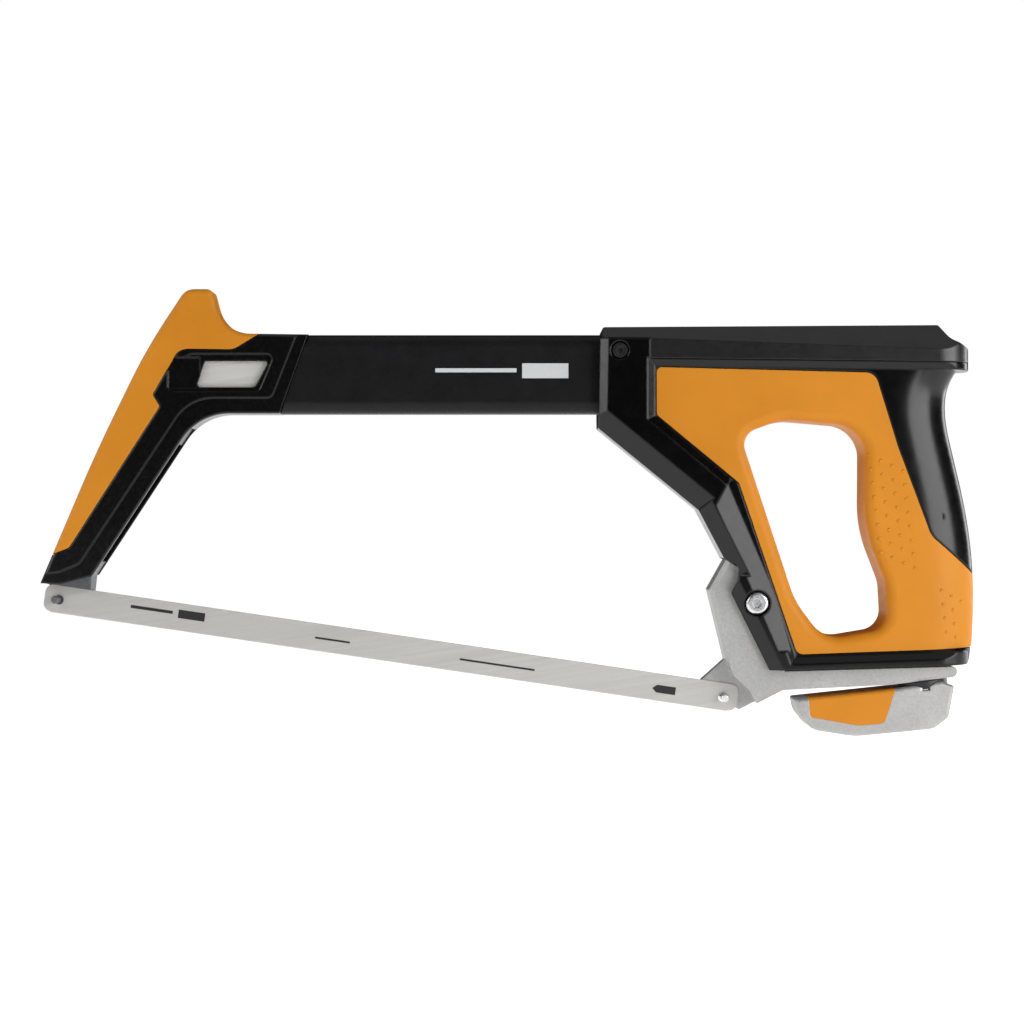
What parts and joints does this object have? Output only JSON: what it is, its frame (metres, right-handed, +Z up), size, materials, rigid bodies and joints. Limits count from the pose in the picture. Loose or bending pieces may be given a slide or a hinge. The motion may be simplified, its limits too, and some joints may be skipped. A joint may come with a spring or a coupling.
{
  "type": "hacksaw",
  "caption": "High-tension hacksaw with a closed D-handle, a rectangular tube frame that stores spare blades, a slanted blade and a turning tension lever under the grip.",
  "frame": {"origin": "midway between the saw's two ends, in the saw plane, at the height of the tension lever's lowest point", "axes": "+X towards the handle, +Y to the right side of the saw, +Z up, from the blade to the tube"},
  "size_m": [0.4155, 0.035, 0.198],
  "materials": {
    "blade_steel": "satin, fine lengthwise grain",
    "bright_steel": "bright zinc plate",
    "dark_steel": "black oxide",
    "tube_paint": "matt black powder coat",
    "grey_casting": "dark grey satin",
    "silver_casting": "fine blasted casting",
    "black_satin": "satin moulded",
    "black_gloss": "gloss moulded",
    "orange_rubber": "soft satin",
    "bush_brass": "plain turned"
  },
  "bodies": {
    "frame": {"frame_tube": "tube_paint", "front_arm": "grey_casting", "front_blade_pin": "bright_steel", "nose_shell_left": "black_satin", "nose_shell_right": "black_satin", "front_grip": "orange_rubber", "nose_screws": "dark_steel", "spigot_screws": "dark_steel", "magazine_channel": "black_satin", "spare_blades": "blade_steel", "magazine_spring": "bright_steel", "handle_shell_left": "black_gloss", "handle_shell_right": "black_gloss", "handle_grip_left": "orange_rubber", "handle_grip_right": "orange_rubber", "top_cover": "black_satin", "handle_frame": "silver_casting", "trunnion_nut": "bright_steel", "tube_pins": "bright_steel", "pivot_bolt": "bright_steel", "pivot_nut": "bright_steel", "corner_screw": "dark_steel", "handle_screws": "dark_steel"},
    "thrust_collar": {"thrust_collar": "dark_steel"},
    "lever": {"tension_lever": "silver_casting", "lever_pad": "orange_rubber", "tension_screw": "bright_steel", "thrust_washer": "bright_steel"},
    "rocker": {"rocker": "silver_casting", "pivot_bush": "bush_brass", "rear_blade_pin": "bright_steel"},
    "blade": {"blade": "blade_steel"}
  },
  "joints": [
    {"name": "collar_slide", "type": "slide", "parent": "frame", "child": "thrust_collar", "axis": [0.1236, 0, -0.9923], "range_m": [0, 0.00313]},
    {"name": "lever_turn", "type": "hinge", "parent": "thrust_collar", "child": "lever", "pos_m": [0.1848, 0, 0.0197], "axis": [0.1236, 0, -0.9923], "range_deg": [0, 900]},
    {"name": "rocker_swing", "type": "hinge", "parent": "frame", "child": "rocker", "pos_m": [0.1095, 0, 0.0591], "axis": [0, 1, 0], "range_deg": [0, 2.21]},
    {"name": "blade_slip", "type": "slide", "parent": "frame", "child": "blade", "axis": [-0.9894, 0, 0.145], "range_m": [0, 0.00085]}
  ],
  "couplings": [
    {"joint": "collar_slide", "follows": "lever_turn", "m_per_rad": 0.00019894},
    {"joint": "rocker_swing", "follows": "lever_turn", "ratio": 0.0024446},
    {"joint": "blade_slip", "follows": "lever_turn", "m_per_rad": 0.0000539}
  ]
}
